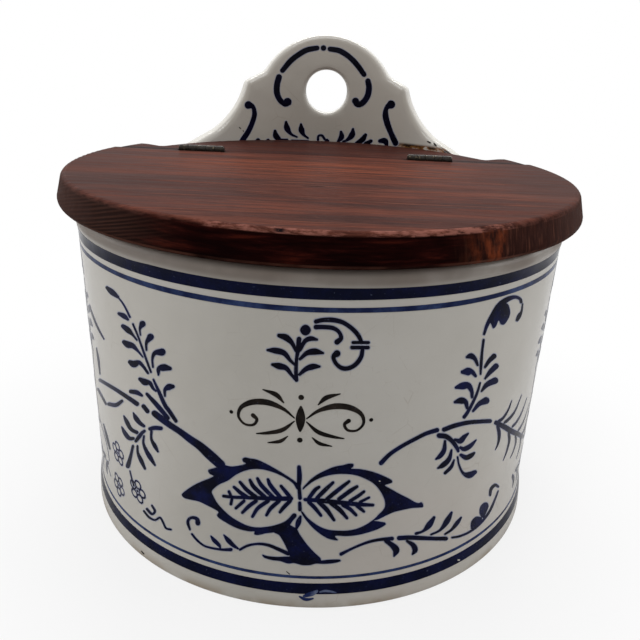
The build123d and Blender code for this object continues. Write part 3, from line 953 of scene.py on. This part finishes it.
LOW_LEFT = strokes(
    ((190, 529.5, 2), (188, 523, 3), (189, 519, 3), (193, 517.5, 3), (197, 519, 4), (198, 523, 5)),
    (
        (192, 534, 2.2), (197, 540, 2.2), (204, 545.5, 2), (212, 548, 2.2), (222, 549.5, 2.5),
        (231, 549.5, 3.5),
    ),
    ((211, 536, 1.5), (214, 540, 4), (219, 545, 3.5), (220.5, 548, 1.5)),
    ((224, 535, 1.5), (228, 540, 4.5), (233, 545, 4), (238, 548.5, 2)),
    (
        (240, 549.5, 2.5), (248, 545.5, 2.5), (258, 543.8, 2.5), (268, 545, 3), (278, 549, 3.5),
        (288, 553.5, 4),
    ),
)
LEFT_BRANCH = strokes(
    (
        (221, 465, 9), (210, 455, 9.5), (200, 446, 8), (190, 439, 7), (180, 431.5, 6), (170, 425, 6),
        (160, 417.5, 6.5), (154.5, 413.3, 6),
    ),
    ((147.6, 411.2, 4.2), (143.6, 406.2, 4.2)),
    ((137, 403.8, 4.5), (128, 397.5, 4), (115, 389, 3.5), (100, 380, 3)),
    ((176, 421, 3.5), (170, 412, 4), (165, 405, 4), (160, 394, 3.5), (153.5, 379.5, 2)),
    ((168, 418, 4), (157, 405, 4.5), (147, 394, 3)),
    ((131, 391.5, 4), (137, 392.5, 4.5), (142, 395.5, 2.5)),
    ((109, 404, 3.5), (116, 405, 4), (122, 401, 3)),
    ((98, 389, 2), (106, 404, 2)),
)
LEFT_FERN = strokes(
    ((107, 287.5, 3), (112, 292, 5.5), (118, 297, 3)),
    ((118, 297, 1.5), (124, 305, 1.8), (130, 317, 2)),
    ((119, 313.5, 3), (124, 316, 5), (128, 319.5, 2.5)),
    ((123, 326, 4), (128, 330, 5.5), (133, 335, 2.5), (137, 340, 1.8)),
    ((133, 324, 2), (138, 336, 2), (143, 350, 2.2), (148, 364, 2.2), (151, 372, 2)),
    ((124, 342, 4), (128, 344.5, 6.5), (133, 346, 5), (138, 351, 2.5), (143, 357, 1.5)),
    ((130, 362, 4), (134, 364, 7), (139, 362.5, 4.5), (143, 366, 3), (148, 373, 2.5)),
    ((140, 379, 3.5), (145, 382, 6.5), (150, 383, 4), (153, 388, 3), (156, 391, 2)),
    ((140.5, 335, 1.5), (140, 329, 2.5), (142.5, 324, 6.5)),
    ((146.5, 350, 2), (146.5, 343, 3), (150.5, 337, 7)),
    ((153, 367, 2), (152.5, 359, 2.5), (155, 353, 4.5), (162, 352, 7.5)),
    ((158.5, 375, 1.8), (159, 369, 5), (164, 367.5, 7), (170, 368.5, 4)),
    ((165, 396, 2), (165, 390, 3.5), (169, 387, 6.5), (173, 386.5, 4)),
)
LEFT_TUFT = strokes(
    ((133.5, 413, 1.5), (136, 418, 4.5), (140, 423, 4), (144, 426, 3)),
    ((124, 416, 1.5), (127, 422, 4), (131, 429, 3.5), (137, 432.5, 3.5)),
    ((122, 427, 1.5), (125, 433, 4), (129, 438, 4), (133.5, 438.5, 3)),
    ((136, 441, 3), (139, 437, 4), (142, 433, 3.5), (144.5, 431, 3)),
    ((150, 428.8, 3.5), (155, 427.8, 4.2), (161, 428.3, 4)),
    ((151.5, 431, 2.5), (151.5, 439, 2.5), (155, 446, 4), (158, 451.5, 2)),
    ((144, 436, 2), (143.5, 443, 2.5), (146, 450, 3.5), (150, 457, 4.5), (155, 465, 2)),
    ((137.5, 446, 2), (138, 453, 2.5), (141, 460, 4), (145, 468.5, 2.5)),
    ((133, 446, 2.5), (131, 455, 3), (128, 466, 4.5)),
)
LEFT_CURLS = strokes(
    ((130, 471, 1.5), (132, 479, 1.5), (134, 486, 1.5)),
    (
        (144, 511, 2), (149, 517, 2), (155, 520, 2), (160, 517.5, 2), (163, 522, 2), (166, 528, 2),
        (171, 529.5, 2),
    ),
    ((147, 509, 2.5), (152, 514, 2.5), (155, 511, 2.5), (152, 505.5, 2)),
)
SPRIG = strokes(
    ((299, 339, 5), (298, 350, 4.5), (296.5, 360, 3.5), (296, 372, 4), (296.5, 380, 4)),
    ((279, 335.5, 4), (286, 337.5, 6.5), (292, 343, 4.5), (296, 351, 3)),
    ((267.5, 350, 2.5), (275, 350.5, 6), (284, 353, 5.5), (290, 360, 3.5), (295, 365, 2.5)),
    ((272.5, 364.5, 3), (279, 366, 6.5), (286, 368, 5), (291, 374, 3.5), (295, 379, 3)),
    ((317, 339.5, 2.5), (311, 338.5, 5), (305, 341, 4.5), (300, 350, 3.5)),
    ((323, 353, 2.5), (315, 351.5, 6.5), (307, 353, 5), (300, 359, 3)),
    ((319.5, 366.5, 2.5), (313, 366.5, 6), (306, 369, 5), (299.5, 374.5, 3)),
    # scroll beside it
    (
        (316, 321.5, 4.5), (323, 320, 4.5), (333, 320, 5), (343, 322.5, 4.5), (352, 328.5, 4.5),
        (358, 335, 4.5), (361, 341, 4),
    ),
    (
        (316, 327, 5), (324, 327, 4.5), (333, 328, 4.5), (339, 332, 4), (341, 338, 4.5), (337, 342, 5.5),
    ),
    ((353, 342.5, 3.2), (368.5, 342.5, 3.2)),
    ((352, 347.5, 3.8), (368, 347.5, 3.8)),
    (
        (362.5, 350, 4), (361, 357, 4.5), (356, 364, 4.5), (349, 368, 4.5), (342, 368, 4.5), (336, 363.5, 4),
        (333.5, 357, 4.5), (337, 353.5, 7),
    ),
)
SPRIG += [
    blob(
        (300, 330), (302, 326), (305.5, 324.5), (309, 326), (311, 330), (309, 334), (305.5, 335.5),
        (302, 334),
    ),
]
RIGHT_SPRIG = strokes(
    (
        (484, 334, 2.5), (487, 325, 3.5), (492, 316, 4.5), (499, 306, 6), (507, 299.5, 5), (515, 297, 3.5),
        (520, 299, 3), (521, 302, 3),
    ),
    ((522.5, 304, 1.5), (521.5, 311, 2), (519, 316, 4), (517, 320, 3)),
    ((483.5, 340, 2.5), (482, 352, 2.5), (481, 364, 3), (480.5, 374, 2)),
    ((467, 357, 3), (471, 356, 6), (475, 359, 4), (477.5, 365, 2.5)),
    ((462.5, 372, 4), (468, 371.5, 8), (472, 372, 5), (475.5, 376, 3)),
    ((456, 387.5, 3), (462, 386, 7), (468, 385.5, 6.5), (471.5, 391, 4), (472, 397, 3)),
    ((455, 402, 3), (461, 400.5, 6.5), (465.5, 402, 5), (467, 408, 3)),
    ((485, 367, 2.5), (489, 361, 4), (494, 356, 5)),
    ((485, 378.5, 2), (490, 372, 4.5), (496, 366, 5.5)),
    ((481.5, 391, 2), (487, 384.5, 5), (495, 380.5, 6.5)),
    ((473, 411, 2.5), (479, 404, 4.5), (486, 400.5, 7)),
    ((480, 383, 2), (477, 393, 2.5), (472, 404, 3), (467, 413, 3.5), (464, 417, 3.5)),
)
RIGHT_SPRIG += [
    blob(
        (489, 319), (494, 311), (501, 304.5), (507, 303.5), (509.5, 308), (510, 314), (507.5, 320),
        (504, 324.5), (500.5, 324), (498.5, 320.5), (496, 326), (493, 328.5), (491.5, 325),
    ),
]
RIGHT_ARCS = strokes(
    (
        (381, 463, 4.5), (390, 454, 4), (402, 446, 3.8), (415, 439, 3.8), (426, 433.5, 4), (437, 430, 4.5),
    ),
    ((444, 429.5, 4.5), (455, 425.5, 4.5), (468, 422.5, 4.2), (480, 421.5, 4), (490, 421, 4)),
)
HANGING = strokes(
    ((439, 435.5, 5), (446, 436.5, 5), (452, 441, 4.5), (457, 448, 4), (458, 451, 3)),
    ((455, 439.5, 2.5), (460, 441, 5.5), (464, 437, 4.5), (468, 433.5, 2)),
    ((460.5, 447.5, 3), (464, 449, 4.6), (470, 446, 4.5), (476, 440, 1.5)),
    ((461, 455, 3.5), (466, 457.5, 5), (471, 455.5, 4.5), (474, 453, 2.5)),
    ((457.5, 457, 2), (459, 465, 2), (463, 473, 3), (469, 475, 6.5), (475, 472, 4)),
    ((445, 441, 2.5), (444, 450, 4.5), (440, 456, 4.5), (436, 459, 2)),
    ((451.5, 450, 2), (449, 459, 4.5), (443, 465, 5), (438, 468, 2)),
    ((454, 460, 1.8), (451, 467, 3.5), (445, 473, 3)),
)
LOW_RIGHT = strokes(
    (
        (341, 554, 3.5), (350, 549.5, 2.5), (360, 545, 2.5), (370, 541.5, 2.8), (380, 539.5, 3),
        (392, 538.5, 4),
    ),
    ((399, 538, 4.5), (410, 537.5, 4.5), (422, 538, 4.2), (435, 538.5, 3.8), (446, 538.5, 4)),
    (
        (452, 537.5, 2), (460, 536, 2.2), (470, 531.5, 2.2), (480, 523.5, 2.5), (489, 512, 2.5),
        (495, 499, 2), (498, 491, 1.5),
    ),
    ((490, 495, 2.5), (491, 489, 3), (495, 485, 3), (498, 486.5, 2.5)),
    ((416, 533.5, 3), (423, 531, 2.5), (429, 525, 6), (434, 517.5, 3)),
    ((431, 534.5, 2), (440, 530, 2.5), (447, 521, 5.5), (451.5, 512.5, 2.5)),
    ((445, 534, 2), (451, 530, 2.5), (457, 523, 4), (461, 517.5, 2)),
    ((386, 541, 4), (392, 545, 5.5), (396, 550, 7), (394, 556, 2)),
    ((407, 541, 2.5), (413, 545, 5), (415, 550, 5.5), (412.5, 554, 2)),
)
LOW_RIGHT += [
    blob((471, 529), (471, 522), (475, 517), (479, 516.5), (482, 518), (480, 524), (475, 528)),
    blob((479.5, 514), (480, 507), (483.5, 503), (487, 502.5), (488.5, 506), (486, 513), (483, 518)),
]
CREST = strokes(
    ((317, 48, 5), (307, 50, 5.5), (298, 55, 5.5), (290, 61.5, 5.5), (282.5, 70.5, 5)),
    ((279, 77, 6), (277, 85, 6), (277, 93, 6), (280, 100, 5.5), (285, 104, 5.5), (287.5, 102, 8.5)),
    (
        (248.5, 105, 8), (253, 107, 4.5), (254.5, 114, 4.8), (252.5, 122, 5), (248.5, 131, 5.2),
        (242, 141, 5.5),
    ),
    ((330, 49, 5), (340, 51, 5.5), (350, 57.5, 5.5), (358, 66, 5.5), (364, 74.5, 5)),
    ((368, 81, 5.5), (369, 88, 6), (367.5, 96, 6), (363, 102.5, 6), (358, 104.5, 6), (355.5, 101, 7)),
    (
        (391, 104.5, 8.5), (386.5, 108, 4.5), (385.5, 115, 6), (387.5, 124, 6), (391, 133, 5.5),
        (395.5, 143, 6),
    ),
    ((286, 122, 2.5), (287, 128, 6), (291, 134, 3), (297, 137, 1.8)),
    ((301, 124, 2), (301.5, 130, 6), (304, 135, 3), (308, 138, 2)),
    ((275, 131, 3), (276, 136, 6), (280, 140, 4)),
    ((280, 140, 3), (287, 140, 3)),
    ((292, 141, 3), (308, 141.5, 3)),
    ((318, 140, 2.5), (318.5, 136, 2.5), (322, 135.5, 2.5), (324.5, 139, 2.5)),
    ((341, 132, 3), (341.5, 137, 5.5), (338, 141.5, 2.5)),
    ((353, 129, 2.5), (352, 135, 6), (347, 140, 3), (343, 141.5, 2)),
    ((365.5, 135, 3.5), (362, 140, 5.5), (356, 143, 2.5)),
    ((371, 141, 3.5), (366, 144, 5)),
    ((380, 141, 4), (385, 141, 6), (387, 146, 3)),
)
CREST += [
    blob(
        (320.7, 48), (321.5, 46), (323.5, 45.2), (325.5, 46), (326.3, 48), (325.5, 50), (323.5, 50.8),
        (321.5, 50),
    ),
    blob((255, 141), (258, 138), (261, 141), (258, 144)),
    blob((265.5, 141), (268, 138.5), (270.5, 141), (268, 143.5)),
    blob((324.5, 141), (327, 138.5), (329.5, 141), (327, 143.5)),
]
# thin lines at the left edge of the view
LEFT_RIM = strokes(
    ((89.5, 305, 1), (93, 316, 1.6), (98, 328, 1.8), (104, 339, 1.4)),
    ((96.5, 348, 1), (98.5, 360, 2), (100, 374, 1.2)),
    ((103.5, 424, 1), (107, 437, 2.2), (110, 449, 1.4)),
)
# smudges, nicks and specks
SMEAR_STROKES = strokes(
    ((299.5, 596.5, 1.5), (304, 598.8, 3), (308, 599.4, 2.6), (313, 598.4, 1.6)),
    ((304, 596, 2.5), (308.5, 594.6, 4), (313, 593.2, 4.4), (317, 591, 2.5)),
    ((320, 591.8, 1.4), (325, 590.8, 2.2), (331, 591.4, 2), (336, 592.6, 1.2)),
)
NICKS = strokes(((286.5, 571.5, 0.7), (289.5, 574, 1)), ((141.5, 551, 0.8), (144, 554, 1.1)))
BARE_SPOTS = strokes(((458, 560, 1.3), (459.2, 559.8, 1.3)), ((379.2, 481, 0.8), (380, 481, 0.8)))
CREST_SPECKS = strokes(
    ((427.5, 141.5, 1), (430, 142.5, 1.3)),
    ((434, 143.5, 1.2), (436, 145.5, 1.3)),
    ((239.5, 127.5, 1), (240.5, 128.5, 1)),
    ((243, 130.5, 0.8), (243.6, 131.4, 0.8)),
)

left_fern = traced(LEFT_FERN)
right_sprig = traced(RIGHT_SPRIG)
low_right = traced(LOW_RIGHT)
middle = traced(CARTOUCHE + LOW_LEFT)
left_low = traced(LEFT_BRANCH + LEFT_TUFT + LEFT_CURLS)
right_arcs = traced(RIGHT_ARCS)
left_rim = traced(LEFT_RIM)
bloom_places = on_wall([(118, 453), (119, 485), (137.5, 491)])
blooms = flowers(*[(*place, turn) for place, turn in zip(bloom_places, (0.3, 0.9, 0.1))])

# ---- outlines in millimetres on the wall
# the right half of the small black flourish, from its middle
FLOURISH = [
    *strokes(
        (
            (1.6, 0.2, 0.35), (4.5, 2.6, 1.0), (8.5, 4.0, 1.7), (12.5, 3.6, 1.6), (15.6, 1.6, 1.1),
            (16.4, -1.2, 0.8), (14.8, -3.2, 0.7), (12.4, -3.1, 0.75), (11.4, -1.4, 0.9), (12.4, -0.3, 1.3),
        ),
        ((1.6, -0.8, 0.35), (4.6, -3.6, 1.2), (8.2, -4.9, 1.0), (11.5, -5.6, 0.35)),
        ((4.4, 4.4, 0.35), (6.4, 6.5, 1.35), (9.8, 7.6, 0.35)),
        ((3.2, -5.4, 0.3), (5.2, -7.1, 1.05), (8.4, -7.9, 0.3)),
        step=0.35,
    ),
    disc(18.4, -0.3, 0.55),
]
centre = on_wall([(300.5, 419)])[0]
leaf = smooth_line([(0, 3.9), (1.25, 0), (0, -3.9), (-1.25, 0)], 0.4, closed=True)
flourish = moved(FLOURISH, *centre) + moved(FLOURISH, *centre, flip=True)
flourish += moved([disc(0, 6.3, 0.75), disc(0, -6.3, 0.75), leaf], *centre)

# the leafy arc that turns away round the right side
right_arc = strokes(
    (
        (58.5, 50.4, 1.26), (63.8, 47, 1.54), (70.5, 42.5, 1.68), (77, 38.6, 1.54), (84, 34.2, 1.4),
        (90, 31, 1.12),
    ),
    ((66.5, 54.5, 0.63), (65.2, 52, 1.26), (62.5, 50.2, 1.4), (60, 50.2, 0.98)),
    ((74, 53.5, 0.63), (70.5, 49.5, 1.4), (66.5, 48.3, 1.4), (64, 48.3, 0.98)),
    ((81, 49.5, 0.63), (77, 45.6, 1.4), (73, 44.2, 1.4), (70.5, 44.2, 0.98)),
    ((87.5, 44.5, 0.63), (83.5, 41, 1.4), (79.5, 39.8, 1.4), (77, 39.8, 0.98)),
    ((93, 39, 0.56), (89.5, 36.3, 1.26), (86, 35.2, 1.26), (83.5, 35.2, 0.84)),
    ((60, 48.8, 1.12), (62, 45, 1.68), (62.3, 42, 1.4), (61.3, 40.2, 0.7)),
    ((68.2, 43.1, 0.98), (70, 39.5, 1.68), (69.5, 36, 1.4), (68, 33.4, 0.63)),
    ((75, 39, 0.84), (76.8, 35.6, 1.54), (76, 33, 1.26), (74, 31.4, 0.56)),
    ((82, 35, 0.84), (84, 31.8, 1.54), (83.4, 29, 1.26), (81.6, 27.2, 0.56)),
    step=0.5,
)
# the pattern goes on round each side and ends short of the back, which hangs against the wall
right_side = strokes(
    ((90, 31, 0.8), (100, 28.5, 1.0), (110, 30, 1.1), (119, 35, 1.0), (125, 42, 0.9), (127, 50, 0.8)),
    ((88.5, 57.5, 0.9), (90.5, 50, 0.8), (91, 42, 0.7), (89.5, 33, 0.7)),
    ((99, 28.6, 0.5), (101.5, 32, 1.2), (101, 35.5, 0.5)),
    ((105, 28.9, 0.5), (108, 25.6, 1.2), (111.5, 24.4, 0.5)),
    ((111, 30.6, 0.5), (110.5, 34.5, 1.2), (108, 38, 0.5)),
    ((117, 33.8, 0.5), (120.5, 31.6, 1.2), (124.5, 31.4, 0.5)),
    ((122.5, 38.4, 0.5), (119.5, 41.5, 1.2), (116, 43, 0.5)),
    step=0.5,
)
right_side += moved(right_sprig, 44, 1) + moved(left_fern, 87, -10, flip=True)
right_side += moved(low_right[1:], 58) + moved(low_right, 187, flip=True)
right_side += flowers((101, 43, 0.5), (109, 49, 1.1), (117, 24, 0.2))
tendrils = strokes(
    ((-88, 33, 0.4), (-83, 30.5, 0.55), (-79.5, 27, 0.55), (-78.5, 22.5, 0.4)),
    ((-87, 20.5, 0.4), (-82.5, 19.5, 0.55), (-78.5, 16.8, 0.4)),
    step=0.5,
)
left_side = moved(right_side, 0, flip=True) + tendrils
far_sides = right_arc + right_side + left_side

# ---- the painted pieces
paint("flourish_black", flourish, wall_place, OVERGLAZE, grid=1.2)
paint("foot_smear", traced(SMEAR_STROKES), wall_place, SMEAR, lift=0.09)
paint("foot_nicks", traced(NICKS), wall_place, OVERGLAZE)
paint("bare_spots", traced(BARE_SPOTS), wall_place, GLAZE, lift=0.09)
paint_soft("pattern_front", middle + traced(HANGING) + low_right)
paint_soft("pattern_sprig", traced(SPRIG), mat=COBALT_DARK)
paint_soft("pattern_sides", left_fern + left_low + blooms + left_rim + right_sprig + right_arcs + far_sides)
paint_soft("pattern_crest", traced(CREST, on_crest), crest_place, COBALT_DARK)
paint("crest_specks", traced(CREST_SPECKS, on_crest), crest_place, OVERGLAZE)


# ---- the lines round the pot
def band(name, low, high, mat, wobble, seed, drops=(0.0, 0.0), leans=(0.0, 0.0), swell=0.0, step=0.0):
    """A brushed line all round the pot, with a slightly uneven hand."""
    rng = np.random.default_rng(seed)
    count = 240
    layers = 5
    u = np.linspace(0, 2 * math.pi, count, endpoint=False)
    waves = np.zeros((2, count))
    for k in range(1, 15):
        p, q, a, b = rng.uniform(0, 2 * math.pi, 2).tolist() + rng.normal(0, 1, 2).tolist()
        waves[0] += a * np.sin(k * u + p) / math.sqrt(k)
        waves[1] += b * np.sin(k * u + q) / math.sqrt(k)
    low, high = (
        edge - drop + lean * np.sin(u) + wave * wobble / 2
        for edge, drop, lean, wave in zip((low, high), drops, leans, waves)
    )
    low = low - swell * np.sin(u) ** 2
    # the brush is set down again a little to the left of the middle
    angle = np.degrees(np.where(u > math.pi, u - 2 * math.pi, u))
    high = high - step * np.interp(angle, [-150, -60, -38, -33], [0, 1, 1, 0])
    rings = [(low + (high - low) * k / (layers - 1), FILM) for k in range(layers)]
    rings += [(high, FILM_ROOT), (low, FILM_ROOT)]
    points = np.vstack([wall_place(np.column_stack([ARC_R * u, z]), lift) for z, lift in rings])
    faces = [face[::-1] for face in ring_faces(len(rings), count, closed=True)]
    new_piece(name, points, faces, mat, sharp=40)


def height_at(y):
    """The wall's height where the photograph's row y crosses it near the middle."""
    return float(on_wall([(340, y)])[0, 1])


band("band_top", height_at(298), height_at(288), COBALT_BAND, 0.07, 3, (0.58, 0.1), (0.42, 0.1), 0.5, 0.3)
band("band_top_thin", height_at(312.5), height_at(307), COBALT_THIN, 0.1, 5, (0.18, 0.18), (0.2, 0.2))
band("band_foot", height_at(593), height_at(583), COBALT_BAND, 0.08, 7, (0.15, 0.0), (-0.15, 0.0))
band("band_foot_thin", height_at(578.6), height_at(575.8), COBALT_THIN, 0.05, 9, (-0.1, -0.1))


# ---- lights, studio and floor
def area(name, place, aim, size, power):
    """A rectangular lamp at a place, turned to its aim."""
    light = bpy.data.lights.new(name, "AREA")
    light.shape = "RECTANGLE"
    light.size, light.size_y = size
    light.energy = power
    obj = linked(name, light)
    obj.location = Vector(place)
    obj.rotation_euler = (Vector(aim) - Vector(place)).to_track_quat("-Z", "Y").to_euler()


area("top_key", (-0.1, -0.4, 1.0), (0, 0, 0.08), (0.5, 0.5), 4.9)
area("left_soft", (-0.9, 0.05, 0.3), (0, 0, 0.08), (0.6, 0.6), 3.2)
area("right_soft", (0.9, 0.05, 0.35), (0, 0, 0.08), (0.6, 0.6), 3.4)
area("back_top", (0.0, 0.7, 0.9), (0, 0, 0.12), (0.8, 0.6), 8.0)

# a white studio to look at and to see reflected, which lights the pot less brightly
n = Net(bpy.data.worlds.new("studio"))
rays = n.node("ShaderNodeLightPath").outputs
reflected = n.math("MAXIMUM", rays["Is Glossy Ray"], rays["Is Transmission Ray"])
white = n.math("MAXIMUM", rays["Is Camera Ray"], reflected)
colours = {0: white, 6: (0.21, 0.21, 0.215, 1), 7: (1, 1, 1, 1)}
sky = n.node("ShaderNodeMix", colours, data_type="RGBA").outputs[2]
backdrop = n.node("ShaderNodeBackground", {"Color": sky, "Strength": 1.0})
bpy.context.scene.world = n.finish("ShaderNodeOutputWorld", backdrop.outputs[0])

# a floor that goes over into the white of the studio away from the pot
n = material("floor_white")
matt = n.surface(Base_Color=(0.6, 0.6, 0.6, 1), Roughness=0.9, Specular_IOR_Level=0.1)
glow = n.node("ShaderNodeEmission", {"Color": (1, 1, 1, 1), "Strength": 1.0}).outputs[0]
away = n.node("ShaderNodeVectorMath", {0: n.coords("Object")}, operation="LENGTH").outputs["Value"]
shown = n.times(n.node("ShaderNodeLightPath").outputs["Is Camera Ray"], n.fade(away, 0.05, 0.19, 0.78, 1.0))
blend = n.node("ShaderNodeMixShader", {0: shown, 1: matt, 2: glow}).outputs[0]
white = n.finish("ShaderNodeOutputMaterial", blend)
HALF_FLOOR = 4000
corners = [(x * HALF_FLOOR, y * HALF_FLOOR, 0) for x, y in ((-1, -1), (1, -1), (1, 1), (-1, 1))]
floor = linked("floor", new_mesh("floor", corners, [(0, 1, 2, 3)]))
floor.data.materials.append(white)

bpy.context.scene.view_settings.view_transform = "Standard"
